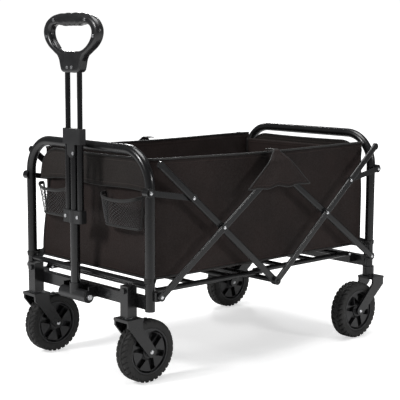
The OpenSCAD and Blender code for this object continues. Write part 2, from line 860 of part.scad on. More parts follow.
module handle_rivet(y, z, head) {
    translate([-handle_x - collar_t / 2, y, z]) rotate([0, 90, 0]) {
        cylinder(d = clamp_rivet_d, h = clamp_rivet_in);
        translate([0, 0, -1.6]) cylinder(d = head, h = 1.6);
    }
}

// The collar on top of the outer tubes. The rods slide through it, and its tongue lies between the
// outer tubes, in front of the middle one.
module handle_collar() {
    color(black) translate([-handle_x, 0, collar_z]) difference() {
        union() {
            cross_block(collar_w, collar_t, collar_h);
            translate([-collar_t / 2, 0, 0]) rotate([90, 0, 90]) linear_extrude(tongue_t) {
                translate([-tongue_w / 2, tongue_w / 2 - tongue_l])
                    square([tongue_w, tongue_l - tongue_w / 2 + 1]);
                translate([0, tongue_w / 2 - tongue_l]) circle(d = tongue_w);
            }
        }
        translate([0, 0, -tongue_l - 1]) cylinder(d = middle_tube_d, h = collar_h / 2 + tongue_l + 1);
        translate([-collar_t / 2, tongue_rivet[0], tongue_rivet[1] - collar_z]) rivet_hole();
        both_sides() translate([0, rod_gap / 2, -1]) {
            cylinder(d = outer_tube_d, h = 13);
            cylinder(d = rod_bore, h = collar_h + 2);
        }
    }
}

module handle_rods() {
    color(black) both_sides() translate([-handle_x, rod_gap / 2, rod_foot])
        cylinder(d = rod_d, h = grip_z + 30 - rod_foot);
}

// The outline of the grip, across Y and up: a rounded triangle on a neck, with its finger opening
module grip_outline() {
    difference() {
        union() {
            intersection() {
                grip_triangle(grip_w / 2, grip_r + 6);
                translate([-grip_w, 0]) square([2 * grip_w, grip_h]);
            }
            translate([-collar_w / 2, 0]) square([collar_w, 40]);
        }
        grip_opening(grip_w / 2 - grip_t, grip_r);
    }
}

// A triangle of half width w whose three corners are rounded with radius r, point down
module grip_triangle(w, r) {
    top = grip_h - r;
    tip = r + 2;
    hull() {
        for (s = [-1, 1]) translate([s * (w - r), top]) circle(r);
        for (s = [-1, 1]) translate([s * collar_w / 4, tip]) circle(r);
    }
}

module grip_opening(w, r) {
    hull() {
        for (s = [-1, 1]) translate([s * (w - r), grip_h - grip_t - r]) circle(r);
        for (s = [-1, 1]) translate([s * w / 3, grip_h - grip_t - 61 + r]) circle(r);
    }
}

// One half of the grip, on the side of the handle given by front (-1) or back (1)
module grip_half(side) {
    color(black) translate([-handle_x, 0, grip_z]) difference() {
        rotate([90, 0, 90]) translate([0, 0, side < 0 ? -grip_r : 0.02]) linear_extrude(grip_r - 0.02)
            grip_outline();
        both_sides() translate([0, rod_gap / 2, -1]) cylinder(d = rod_d, h = 31);
        for (p = screw_points) translate([-grip_r - 1, p[0], p[1]])
            rotate([0, 90, 0]) cylinder(d = screw_d, h = grip_r + 5);
    }
}

module grip_front_half() grip_half(-1);

module grip_rear_half() grip_half(1);

module grip_screws() {
    color(steel) for (p = screw_points)
        translate([-handle_x - grip_r - screw_head[1], p[0], grip_z + p[1]]) rotate([0, 90, 0]) {
            cylinder(d = screw_d - 0.05, h = grip_r + 4);
            cylinder(d = screw_head[0], h = screw_head[1] - 0.01);
        }
}

place() front_loop();
place() front_post_plugs();
place() front_cross_tubes();
place() front_brackets();
place() front_frame_pins();
place() caster_sleeves();
place() handle_bracket();
place() handle_bolt();
place() basket_front();
place() basket_side_left();
place() basket_side_right();
place() basket_bottom();
place() cup_pocket_left();
place() cup_pocket_right();
place() rear_loop();
place() rear_cross_tubes();
place() rear_brackets();
place() rear_frame_pins();
place() rear_fork_left();
place() rear_fork_right();
place() rear_axles();
place() basket_rear();
place() front_rising_bars();
place() front_cross_rivets();
place() side_flaps();
place() front_falling_bars();
place() hub_tube();
place() rear_rising_bars();
place() rear_bar_rivets();
place() rear_falling_bars();
place() front_links();
place() front_link_rivets();
place() rear_links();
place() rear_link_rivets();
place() floor_frame_front();
place() floor_frame_rear();
place() caster_fork_left();
place() caster_fork_right();
place() caster_pins_left();
place() caster_pins_right();
place() front_tyre_left();
place() front_tyre_right();
place() front_rim_left();
place() front_rim_right();
place() rear_tyre_left();
place() rear_tyre_right();
place() rear_rim_left();
place() rear_rim_right();
place() handle_hub();
place() handle_tubes();
place() handle_clamp();
place() clamp_rivets();
place() handle_collar();
place() handle_rods();
place() grip_front_half();
place() grip_rear_half();
place() grip_screws();
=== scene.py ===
import json
import math

import bmesh
import bpy
import numpy as np
from mathutils import Matrix, Vector, noise


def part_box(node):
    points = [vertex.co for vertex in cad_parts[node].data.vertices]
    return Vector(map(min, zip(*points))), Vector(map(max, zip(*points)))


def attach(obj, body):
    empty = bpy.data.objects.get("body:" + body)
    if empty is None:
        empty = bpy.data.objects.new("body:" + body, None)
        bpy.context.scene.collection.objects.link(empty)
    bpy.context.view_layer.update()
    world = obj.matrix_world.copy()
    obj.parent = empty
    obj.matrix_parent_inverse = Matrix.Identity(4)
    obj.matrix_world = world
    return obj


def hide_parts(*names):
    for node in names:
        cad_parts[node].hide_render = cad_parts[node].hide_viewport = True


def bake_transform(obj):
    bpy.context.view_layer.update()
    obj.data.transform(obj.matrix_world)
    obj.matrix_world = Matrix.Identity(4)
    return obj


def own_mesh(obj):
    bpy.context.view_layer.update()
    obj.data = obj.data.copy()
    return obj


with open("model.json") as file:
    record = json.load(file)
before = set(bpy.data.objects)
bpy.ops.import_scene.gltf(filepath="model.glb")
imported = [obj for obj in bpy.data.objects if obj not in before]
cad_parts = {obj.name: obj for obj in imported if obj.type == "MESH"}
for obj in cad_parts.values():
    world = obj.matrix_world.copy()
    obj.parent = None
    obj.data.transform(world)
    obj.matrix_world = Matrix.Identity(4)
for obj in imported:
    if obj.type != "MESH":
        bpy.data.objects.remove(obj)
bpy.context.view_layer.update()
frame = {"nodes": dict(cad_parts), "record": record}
MM = 0.001


# ------------------------------------------------------------------ camera
def make_camera():
    """The view of the photograph, found by a fit to measured points."""
    azimuth, elevation, roll = map(math.radians, (-42.603, 7.858, 0.265))
    distance = 2.965
    target = Vector((-0.0409, -0.03445, 0.39426))
    back = Vector((math.sin(azimuth) * math.cos(elevation),
                   -math.cos(azimuth) * math.cos(elevation), math.sin(elevation)))
    right = Vector((math.cos(azimuth), math.sin(azimuth), 0))
    up = back.cross(right)
    right, up = (math.cos(roll) * right + math.sin(roll) * up,
                 -math.sin(roll) * right + math.cos(roll) * up)
    data = bpy.data.cameras.new("camera")
    data.lens, data.sensor_width = 100.816, 36
    data.clip_start, data.clip_end = 0.05, 60
    camera = bpy.data.objects.new("camera", data)
    bpy.context.scene.collection.objects.link(camera)
    where = target + distance * back
    rows = [(right[i], up[i], back[i], where[i]) for i in range(3)]
    camera.matrix_world = Matrix(rows + [(0, 0, 0, 1)])
    bpy.context.scene.camera = camera


make_camera()


# ------------------------------------------------------------------ materials
class Shade:
    """A material around one Principled shader, with short calls for its nodes."""

    def __init__(self, name, **values):
        self.material = bpy.data.materials.new(name)
        self.material.use_nodes = True
        self.tree = self.material.node_tree
        self.tree.nodes.clear()
        out = self.tree.nodes.new("ShaderNodeOutputMaterial")
        self.shader = self.tree.nodes.new("ShaderNodeBsdfPrincipled")
        self.tree.links.new(self.shader.outputs[0], out.inputs[0])
        for key, value in values.items():
            self.shader.inputs[key.replace("_", " ")].default_value = value

    def node(self, kind, *sources, **settings):
        made = self.tree.nodes.new("ShaderNode" + kind)
        for key, value in settings.items():
            if key in ("Scale", "Detail", "Distance", "Strength", "Radius", "Distortion"):
                made.inputs[key].default_value = value
            else:
                setattr(made, key, value)
        for socket, source in zip(made.inputs, sources):
            self.put(source, socket)
        return made

    def put(self, source, socket):
        if source is None:
            return
        if isinstance(source, (int, float, tuple)):
            socket.default_value = source
        else:
            self.tree.links.new(source, socket)

    def math(self, operation, a, b=None):
        return self.node("Math", a, b, operation=operation).outputs[0]

    def ramp(self, value, low, high, to_low=0.0, to_high=1.0):
        """A smooth step from to_low to to_high between low and high."""
        return self.node("MapRange", value, low, high, to_low, to_high,
                         interpolation_type="SMOOTHSTEP").outputs[0]

    def mix(self, share, a, b):
        made = self.tree.nodes.new("ShaderNodeMix")
        made.data_type = "RGBA"
        self.put(share, made.inputs["Factor"])
        self.put((*a, 1) if isinstance(a, tuple) else a, made.inputs["A"])
        self.put((*b, 1) if isinstance(b, tuple) else b, made.inputs["B"])
        return made.outputs["Result"]

    def place(self):
        return self.node("TexCoord").outputs["Object"]

    def noise(self, scale, detail=2.0, vector=None):
        made = self.node("TexNoise", Scale=scale, Detail=detail)
        self.put(vector or self.place(), made.inputs["Vector"])
        return made.outputs["Fac"]

    def surface(self, color=None, roughness=None, height=None, strength=0.3, distance=0.0005,
                round_edges=None):
        if color is not None:
            self.put(color, self.shader.inputs["Base Color"])
        if roughness is not None:
            self.put(roughness, self.shader.inputs["Roughness"])
        normal = None
        if round_edges:
            normal = self.node("Bevel", Radius=round_edges, samples=4).outputs[0]
        if height is not None:
            bump = self.node("Bump", Strength=strength, Distance=distance)
            self.put(height, bump.inputs["Height"])
            if normal is not None:
                self.put(normal, bump.inputs["Normal"])
            normal = bump.outputs[0]
        if normal is not None:
            self.put(normal, self.shader.inputs["Normal"])
        return self.material

    def painted_edge_highlight(self, radius):
        """1 where the rounded normal leaves the true one, which is along sharp edges. The materials mix a
        painted highlight into their colour there.
        """
        soft = self.node("Bevel", Radius=radius, samples=4).outputs[0]
        true = self.node("NewGeometry").outputs["Normal"]
        dot = self.node("VectorMath", soft, true, operation="DOT_PRODUCT").outputs["Value"]
        return self.ramp(dot, 0.965, 0.8)


def powder_coat():
    s = Shade("black_tube_coat", Specular_IOR_Level=0.35, Coat_Weight=0.3, Coat_Roughness=0.16)
    orange_peel = s.noise(900, 3)
    patches = s.noise(14, 4)
    color = s.mix(patches, (0.004, 0.004, 0.0045), (0.009, 0.009, 0.0095))
    # Painted highlight: a lighter grey is mixed into the colour along sharp edges.
    color = s.mix(s.math("MULTIPLY", s.painted_edge_highlight(0.0012), 0.5), color, (0.085, 0.085, 0.09))
    return s.surface(color, s.ramp(patches, 0.3, 0.7, 0.24, 0.34), orange_peel, 0.25, 0.0003, 0.0009)


def enamel():
    s = Shade("black_enamel_coat", Specular_IOR_Level=0.4, Coat_Weight=0.35, Coat_Roughness=0.12)
    streaks = s.node("Mapping", s.place())
    streaks.inputs["Scale"].default_value = (60, 60, 3)
    drawn = s.noise(6, 3, streaks.outputs[0])
    color = s.mix(drawn, (0.004, 0.004, 0.0045), (0.010, 0.010, 0.011))
    # Painted highlight: a lighter grey is mixed into the colour along sharp edges.
    color = s.mix(s.math("MULTIPLY", s.painted_edge_highlight(0.001), 0.6), color, (0.12, 0.12, 0.125))
    return s.surface(color, s.ramp(drawn, 0.3, 0.7, 0.18, 0.28), drawn, 0.12, 0.0004, 0.0007)


def zinc():
    s = Shade("zinc_plate", Metallic=1.0)
    grain = s.noise(700, 3)
    patches = s.noise(60, 3)
    color = s.mix(patches, (0.62, 0.63, 0.65), (0.82, 0.82, 0.83))
    return s.surface(color, s.ramp(patches, 0.3, 0.7, 0.2, 0.38), grain, 0.2, 0.0003, 0.0006)


def moulding():
    s = Shade("moulded_plastic", Specular_IOR_Level=0.5)
    leather = s.node("TexVoronoi", Scale=850)
    s.put(s.place(), leather.inputs["Vector"])
    patches = s.noise(25, 3)
    color = s.mix(patches, (0.012, 0.012, 0.013), (0.022, 0.022, 0.023))
    # Painted highlight: a lighter grey is mixed into the colour along sharp edges.
    color = s.mix(s.math("MULTIPLY", s.painted_edge_highlight(0.0014), 0.35), color, (0.07, 0.07, 0.072))
    return s.surface(color, s.ramp(patches, 0.3, 0.7, 0.34, 0.48), leather.outputs["Distance"], 0.3,
                     0.0002, 0.0011)


def gloss_moulding():
    s = Shade("gloss_plastic", Specular_IOR_Level=0.5, Coat_Weight=0.25, Coat_Roughness=0.2)
    waves = s.noise(35, 2)
    fine = s.noise(1100, 2)
    color = s.mix(waves, (0.008, 0.008, 0.009), (0.016, 0.016, 0.017))
    return s.surface(color, s.ramp(waves, 0.3, 0.7, 0.28, 0.4), fine, 0.06, 0.0002)


def rubber():
    s = Shade("tyre_rubber_face", Specular_IOR_Level=0.4)
    grain = s.noise(1300, 3)
    dust = s.noise(30, 5)
    color = s.mix(dust, (0.010, 0.010, 0.010), (0.022, 0.021, 0.020))
    # Painted highlight: a lighter grey is mixed into the colour along the sharp edges of the tread.
    color = s.mix(s.math("MULTIPLY", s.painted_edge_highlight(0.001), 0.5), color, (0.06, 0.06, 0.058))
    return s.surface(color, s.ramp(dust, 0.3, 0.7, 0.5, 0.68), grain, 0.3, 0.0003, 0.0006)


def canvas(name, dark, light, sheen):
    """Plain weave in metres along the cloth, with a folded hem and a row of stitches at its edges."""
    thread_gap, hem, seam, stitch_gap = 0.0016, 0.012, 0.0095, 0.0042
    s = Shade(name, Specular_IOR_Level=0.28, Sheen_Weight=sheen, Sheen_Roughness=0.45)
    weave = s.node("UVMap", uv_map="weave").outputs[0]
    across, along, _ = s.node("SeparateXYZ", weave).outputs
    pitch = 2 * math.pi / thread_gap

    def thread(value, other):
        rows = s.math("SINE", s.math("MULTIPLY", value, pitch))
        over = s.math("SINE", s.math("MULTIPLY", other, pitch / 2))
        return s.math("MULTIPLY", s.math("ABSOLUTE", rows), s.math("GREATER_THAN", over, 0.0))

    threads = s.math("ADD", thread(across, along), thread(along, s.math("ADD", across, thread_gap / 2)))
    slub = s.noise(260, 4)
    wash = s.noise(7, 5)
    color = s.mix(s.ramp(wash, 0.35, 0.65), dark, light)
    color = s.mix(s.math("MULTIPLY", threads, 0.22), color, tuple(c * 2.2 for c in light))
    height = s.math("ADD", s.math("MULTIPLY", threads, 0.5), s.math("MULTIPLY", slub, 0.6))
    run, inset, _ = s.node("SeparateXYZ", s.node("UVMap", uv_map="hem").outputs[0]).outputs
    fold = s.ramp(inset, hem, hem + 0.0015, 1.0, 0.0)
    off_seam = s.math("ABSOLUTE", s.math("SUBTRACT", inset, seam))
    dash = s.math("GREATER_THAN", s.math("FRACT", s.math("MULTIPLY", run, 1 / stitch_gap)), 0.32)
    stitch = s.math("MULTIPLY", s.ramp(off_seam, 0.0004, 0.0009, 1.0, 0.0), dash)
    color = s.mix(s.math("MULTIPLY", fold, 0.25), color, tuple(c * 0.5 for c in dark))
    color = s.mix(s.math("MULTIPLY", stitch, 0.8), color, tuple(c * 3.0 for c in light))
    height = s.math("ADD", height, s.math("ADD", s.math("MULTIPLY", fold, 3.0),
                                          s.math("MULTIPLY", stitch, 1.6)))
    return s.surface(color, s.ramp(slub, 0.3, 0.7, 0.62, 0.8), height, 0.35, 0.0003)


def netting_cord():
    s = Shade("netting_cord", Specular_IOR_Level=0.35, Sheen_Weight=0.2)
    fibre = s.noise(2200, 3)
    color = s.mix(fibre, (0.022, 0.022, 0.023), (0.06, 0.06, 0.062))
    return s.surface(color, s.ramp(fibre, 0.3, 0.7, 0.5, 0.7), fibre, 0.4, 0.0002)


def binding_tape():
    s = Shade("binding_tape", Specular_IOR_Level=0.35, Sheen_Weight=0.1)
    ribs = s.node("TexWave", Scale=180.0, Distortion=0.6, bands_direction="DIAGONAL")
    s.put(s.place(), ribs.inputs["Vector"])
    fibre = s.noise(900, 3)
    color = s.mix(ribs.outputs["Fac"], (0.008, 0.008, 0.008), (0.022, 0.021, 0.02))
    return s.surface(color, s.ramp(fibre, 0.3, 0.7, 0.45, 0.6), ribs.outputs["Fac"], 0.4, 0.0003)


COAT, ENAMEL, ZINC, MOULD = powder_coat(), enamel(), zinc(), moulding()
GLOSS, RUBBER, NET, TAPE = gloss_moulding(), rubber(), netting_cord(), binding_tape()
CANVAS = canvas("wall_canvas", (0.0085, 0.0046, 0.0038), (0.0165, 0.0092, 0.0078), 0.05)
PANEL = canvas("panel_canvas", (0.009, 0.0066, 0.0058), (0.018, 0.0138, 0.012), 0.08)
LOOKS = {"black_tube": COAT, "black_enamel": ENAMEL, "bright_steel": ZINC, "dark_canvas": CANVAS,
         "netting": NET, "black_moulding": MOULD, "tyre_rubber": RUBBER}

for part in frame["record"]["subparts"]:
    for face in frame["nodes"][part["node"]].material_slots:
        face.link = "OBJECT"
        face.material = LOOKS[part["material_slot"]]


# ------------------------------------------------------------------ mesh helpers
def smoothstep(low, high, x):
    t = np.clip((np.asarray(x, float) - low) / (high - low), 0, 1)
    return t * t * (3 - 2 * t)


def piece(name, verts, faces, material):
    """A smooth-shaded mesh object with its material and record slot."""
    mesh = bpy.data.meshes.new(name)
    mesh.from_pydata([tuple(v) for v in verts], [], [tuple(f) for f in faces])
    mesh.validate()
    mesh.update()
    mesh.polygons.foreach_set("use_smooth", [True] * len(mesh.polygons))
    mesh.materials.append(material)
    made = bpy.data.objects.new(name, mesh)
    bpy.context.scene.collection.objects.link(made)
    return made


def wobble(x, y, z, scale, seed=0.0):
    """Smooth noise from -1 to 1 at each point."""
    flat = np.stack([np.ravel(a) for a in np.broadcast_arrays(x, y, z)], 1) * scale + seed
    return np.array([noise.noise(Vector(p)) for p in flat]).reshape(np.broadcast(x, y, z).shape)


def spans(nu, nv):
    """Grids of u from -1 to 1 and v from 0 to 1, each nu x nv."""
    return (np.linspace(-1, 1, nu)[:, None] * np.ones((1, nv)),
            np.ones((nu, 1)) * np.linspace(0, 1, nv)[None, :])


def line_of(grids, at, lift=0.0):
    """The points of one row or column of three grids, x, y and z, raised by lift."""
    x, y, z = (g[at] for g in grids)
    return np.stack([x, y, z + lift], 1)


TOP_LINE, FOOT_LINE = np.s_[:, -1], np.s_[:, 0]
NO_HEM = 9      # metres, so far from an edge that no hem is drawn


def grid_faces(nu, nv):
    return [(i * nv + j, (i + 1) * nv + j, (i + 1) * nv + j + 1, i * nv + j + 1)
            for i in range(nu - 1) for j in range(nv - 1)]


def ring_faces(turns, n):
    """Faces of a grid of turns x n points that closes both ways."""
    return [(i * n + j, i * n + (j + 1) % n, ((i + 1) % turns) * n + (j + 1) % n,
             ((i + 1) % turns) * n + j) for i in range(turns) for j in range(n)]


def cloth_grid(name, points, material, thick=0.0012, side_hems=True):
    """A sheet from a grid of points, nu x nv x 3, with its weave and hem coordinates in metres."""
    nu, nv = points.shape[:2]
    made = piece(name, points.reshape(-1, 3), grid_faces(nu, nv), material)
    du = np.linalg.norm(np.diff(points, axis=0), axis=2)
    dv = np.linalg.norm(np.diff(points, axis=1), axis=2)
    u = np.vstack([np.zeros((1, nv)), np.cumsum(du, 0)])
    v = np.hstack([np.zeros((nu, 1)), np.cumsum(dv, 1)])
    long_u, long_v = u[-1].mean(), v[:, -1].mean()
    edge_u, edge_v = np.minimum(u, u[-1] - u), np.minimum(v, v[:, -1:] - v)
    if not side_hems:
        edge_u = edge_u + NO_HEM
    run = np.where(edge_u < edge_v, v, u)
    inset = np.minimum(edge_u, edge_v)
    loops = np.array([loop.vertex_index for loop in made.data.loops])
    for layer, pair in (("weave", (u, v)), ("hem", (run, inset))):
        uv = made.data.uv_layers.new(name=layer)
        uv.data.foreach_set("uv", np.stack([a.ravel()[loops] for a in pair], 1).ravel())
    solid = made.modifiers.new("thickness", "SOLIDIFY")
    solid.thickness, solid.offset = thick, 0
    area = sum(p.area for p in made.data.polygons)
    made["flat"] = (float(long_u), float(long_v), float(min(area, long_u * long_v)))
    return made


def declare(made):
    """Returns the piece unchanged."""
    return made


def tube_along(name, path, radius, flat=1.0):
    """Piping along a path. flat under 1 makes it a tape."""
    sides = 8
    path = np.asarray(path, float)
    count = len(path)
    tangent = np.gradient(path, axis=0)
    tangent /= np.linalg.norm(tangent, axis=1)[:, None]
    up = np.array([0, 0, 1.0])
    normal = np.zeros_like(path)
    last = up if abs(tangent[0] @ up) < 0.9 else np.array([1.0, 0, 0])
    for i in range(count):
        last = last - (last @ tangent[i]) * tangent[i]
        last /= np.linalg.norm(last)
        normal[i] = last
    side = np.cross(tangent, normal)
    angles = np.arange(sides) * 2 * math.pi / sides
    rings = (path[:, None] + radius * np.cos(angles)[None, :, None] * normal[:, None]
             + radius * flat * np.sin(angles)[None, :, None] * side[:, None])
    verts = rings.reshape(-1, 3)
    faces = ring_faces(count, sides)[:(count - 1) * sides]
    faces += [tuple(range(sides))[::-1], tuple((count - 1) * sides + j for j in range(sides))]
    return piece(name, verts, faces, TAPE)


def join(name, made):
    """Joins several pieces into the first one."""
    with bpy.context.temp_override(active_object=made[0], object=made[0], selected_objects=made,
                                   selected_editable_objects=made):
        bpy.ops.object.join()
    made[0].name = name
    return made[0]


# ------------------------------------------------------------------ measures from the frame
floor_low, floor_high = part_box("basket_bottom")
side_low, side_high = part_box("basket_side_left")
front_low, front_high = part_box("basket_front")
rear_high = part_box("basket_rear")[1]
loop_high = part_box("front_loop")[1]
MIDDLE = (front_low.x + rear_high.x) / 2
END = (rear_high.x - front_low.x) / 2 - 0.0028
WALL_Y = -(side_low.y + side_high.y) / 2
TOP, BOTTOM = side_high.z, side_low.z
TUBE = 0.012
ARCH_Y = loop_high.y - 2 * TUBE
ARCH_Z = loop_high.z - 2 * TUBE
FRONT_HALF, REAR_HALF, DRAWN_IN = 0.216, 0.2215, 0.027
CORNER = 0.16       # the share of half the length over which a corner is rounded


def rounded(ends, reach):
    """Half the width near a corner, from an end wall's to a side wall's as reach goes from 0 to 1."""
    return ends + (WALL_Y - ends) * (1 - (1 - reach) ** 2) ** 0.5


def half_width(end, z):
    """Half the width of an end wall at height z. The front one (end -1) draws in towards its top."""
    if end > 0:
        return REAR_HALF + 0 * z
    return FRONT_HALF - DRAWN_IN * smoothstep(BOTTOM + 0.02, TOP - 0.07, z)


# ------------------------------------------------------------------ basket walls
def side_wall(side, name):
    """A wall with shallow folds, a slight belly and creases that run from its upper corners."""
    u, v = spans(121, 41)
    z = BOTTOM + 0.0006 + (TOP - BOTTOM - 0.001) * v
    sag = 0.004 * np.sin(np.pi * np.clip((u + 1) / 2, 0, 1)) ** 2
    z = z - sag * v
    x = MIDDLE + (END - 0.003) * u
    reach = np.minimum(1 - np.abs(u), CORNER) / CORNER
    corner = rounded(np.where(u < 0, half_width(-1, z), half_width(1, z)), reach)
    folds = 0.0035 * wobble(x * 0.7, 3 * side, z, 9) + 0.0018 * wobble(x, side, z, 26)
    pull = np.exp(-((np.abs(u) - 0.97) / 0.12) ** 2) * np.clip(v - 0.35, 0, 1)
    folds = folds + 0.004 * pull * np.sin(70 * (z + np.abs(x - MIDDLE)))
    belly = -0.004 * np.sin(np.pi * v) * (1 - u ** 6)
    calm = 1 - 0.75 * np.exp(-(u / 0.36) ** 2) * smoothstep(0.6, 0.75, v)
    edge = smoothstep(0, 0.06, v) * smoothstep(1.0, 0.97, v)
    y = side * (corner + belly * 0.5 - np.abs(folds) * calm * edge)
    made = cloth_grid(name, np.stack([x, y, z], 2), CANVAS, side_hems=False)
    pipes = [tube_along("rim", line_of((x, y, z), TOP_LINE, 0.001), 0.0026),
             tube_along("foot", line_of((x, y, z), FOOT_LINE, 0.003), 0.002)]
    return made, join(name + "_piping", pipes)


def end_wall(end, name):
    """end is -1 for the front. The lower wall is narrower at its top, and the upper overlap hangs
    outside it and follows the bend of the frame tube."""
    u, v = spans(61, 45)
    high = TOP - 0.016
    z = BOTTOM + 0.0006 + (high - BOTTOM) * v
    y = half_width(end, z) * u
    slack = wobble(end, y, z * 1.6, 8, 4.0) * 0.004 + wobble(end, y, z, 21, 9.0) * 0.0016
    bag = 0.010 * np.cos(u * np.pi / 2) * np.sin(np.pi * np.clip(v * 1.05, 0, 1)) ** 1.5
    lines = 0.0022 * np.sin((z - BOTTOM) * 75 + 2.2 * u) * np.exp(-((v - 0.33) / 0.16) ** 2)
    edge = smoothstep(1.0, 0.9, np.abs(u)) * smoothstep(0, 0.05, v)
    x = MIDDLE + end * (END - 0.0045 - (np.abs(slack) + lines + bag) * edge)
    x = x - end * 0.0045 * smoothstep(0.55, 0.8, v)
    lower = cloth_grid(name, np.stack([x, y, z], 2), CANVAS)
    pipes = [tube_along("edge", line_of((x, y, z), at), 0.0024) for at in (0, -1)]
    pipes.append(tube_along("foot", line_of((x, y, z), FOOT_LINE, 0.003), 0.002))

    # The overlap's top follows the inside of the frame tube: its bend, and its gap to the tube.
    bend, gap = 0.073, 0.0065
    wide = ARCH_Y - gap - 0.002
    crown = min(ARCH_Z - gap, TOP + 0.004)
    foot_z = TOP - 0.078
    s = np.linspace(-1, 1, 75)
    yo = wide * s
    past = np.clip(np.abs(yo) - (wide - bend), 0, bend)
    rim = crown - bend + np.sqrt(np.maximum(bend ** 2 - past ** 2, 0)) - 0.004 * (1 - s ** 2)
    hem = foot_z + 0.006 * (1 - s ** 2) + 0.003 * np.sin(5 * s + end)
    rim = np.maximum(rim, hem + 0.012)
    t = np.linspace(0, 1, 19)[None, :]
    zo = hem[:, None] + (rim - hem)[:, None] * t
    yo = yo[:, None] * np.ones_like(t)
    ripple = 0.0016 * wobble(end * 2, yo, zo, 14, 2.0) + 0.0012 * np.sin(38 * yo) * (1 - t)
    xo = MIDDLE + end * (END - 0.0025 + 0.0018 * (1 - t) + ripple * 0.6)
    flap = cloth_grid(name + "_overlap", np.stack([xo, yo, zo], 2), PANEL, thick=0.0014)
    pipes.append(tube_along("border", line_of((xo, yo, zo), TOP_LINE), 0.0022))
    pipes.append(tube_along("hem", line_of((xo, yo, zo), FOOT_LINE), 0.0014))
    return lower, flap, join(name + "_piping", pipes)


def corner_ties(end, name):
    """Short straps from the lower corners of an end wall round the posts."""
    made = []
    for side in (-1, 1):
        start = np.array([MIDDLE + end * (END - 0.004), side * (half_width(end, BOTTOM) - 0.004),
                          BOTTOM + 0.012])
        post = np.array([MIDDLE + end * (END + 0.0148), side * (ARCH_Y + TUBE), BOTTOM + 0.004])
        angles = np.linspace(-0.4, 1.35, 14) * math.pi
        ring = [post + 0.0136 * np.array([-end * math.cos(a), -side * math.sin(a), 0]) for a in angles]
        lead = [start + (ring[0] - start) * t for t in np.linspace(0, 0.9, 6)]
        made.append(tube_along("tie", np.array(lead + ring), 0.0062, 0.14))
    return join(name, made)


def basket_floor(end, name):
    """Half of the bottom. It lies over its half of the floor frame and rises with it."""
    nx, ny = 41, 37
    x = MIDDLE + end * (END - 0.0035) * np.linspace(0, 1, nx)[:, None] * np.ones((1, ny))
    reach = np.clip(1 - np.abs(x - MIDDLE) / (END - 0.003), 0, CORNER) / CORNER
    y = rounded(half_width(end, BOTTOM), reach) * np.linspace(-1, 1, ny)[None, :]
    z = (floor_low.z + floor_high.z) / 2 + 0.0003 * wobble(x, y, 1.0, 18)
    return cloth_grid(name, np.stack([x, y, z], 2), CANVAS)


for side, tag in ((-1, "left"), (1, "right")):
    wall, pipe = side_wall(side, f"side_wall_{tag}")
    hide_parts(f"basket_side_{tag}")
    declare(wall)
    for soft in (wall, pipe):
        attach(soft, "front_frame")
        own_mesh(soft)

for end, tag in ((-1, "front"), (1, "rear")):
    floor = basket_floor(end, f"{tag}_floor_cloth")
    if end < 0:
        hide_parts("basket_bottom")
    declare(floor)
    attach(floor, f"floor_{tag}")
    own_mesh(floor)

for end, tag, body in ((-1, "front", "front_frame"), (1, "rear", "rear_frame")):
    lower, flap, pipes = end_wall(end, f"{tag}_wall")
    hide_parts(f"basket_{tag}")
    ties = corner_ties(end, f"{tag}_corner_ties")
    declare(lower)
    declare(flap)
    for soft in (lower, flap, pipes, ties):
        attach(soft, body)


# ------------------------------------------------------------------ side flaps over the top hinge
def side_flap(side, name):
    """A triangle from the wall's rim over the hinge to a hem across the bars. Its tip turns back to
    the wall above the hinge."""
    low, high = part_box("side_flaps")
    hem_z, crown_z = low.z, TOP + 0.005
    half_hem, half_crown = (high.x - low.x) / 2, 0.007
    root = WALL_Y + 0.0022
    stand = high.y - 0.002 - root
    s, v = spans(65, 33)
    up = np.clip(v / 0.86, 0, 1)
    z = hem_z + (crown_z - hem_z) * up
    x = MIDDLE + s * (half_hem + (half_crown - half_hem) * up)
    plateau = 1 - 0.06 * np.abs(s) ** 9
    rise = stand * (1 - 0.3 * smoothstep(0.66, 1.0, up)) * (1 - smoothstep(0.84, 1.0, v))
    valley = 0.0045 * np.exp(-(s / 0.4) ** 2) * smoothstep(0.7, 0.05, up)
    folds = 0.0008 * wobble(x, side, z, 40, 3.0) * np.sin(np.pi * up)
    y = side * (root + rise * plateau - valley - folds * plateau)
    z = z + 0.003 * (1 - v) * np.cos(s * 9 + 0.5) * (1 - s ** 2)
    made = cloth_grid(name, np.stack([x, y, z], 2), CANVAS, thick=0.0014)
    edges = [tube_along("hem", line_of((x, y, z), FOOT_LINE), 0.0018)]
    edges += [tube_along("seam", line_of((x, y, z), at), 0.0016) for at in (0, -1)]
    return made, join(name + "_piping", edges)


for side, tag in ((-1, "left"), (1, "right")):
    flap, pipes = side_flap(side, f"hinge_flap_{tag}")
    if side < 0:
        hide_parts("side_flaps")
    declare(flap)
    for soft in (flap, pipes):
        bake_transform(soft)


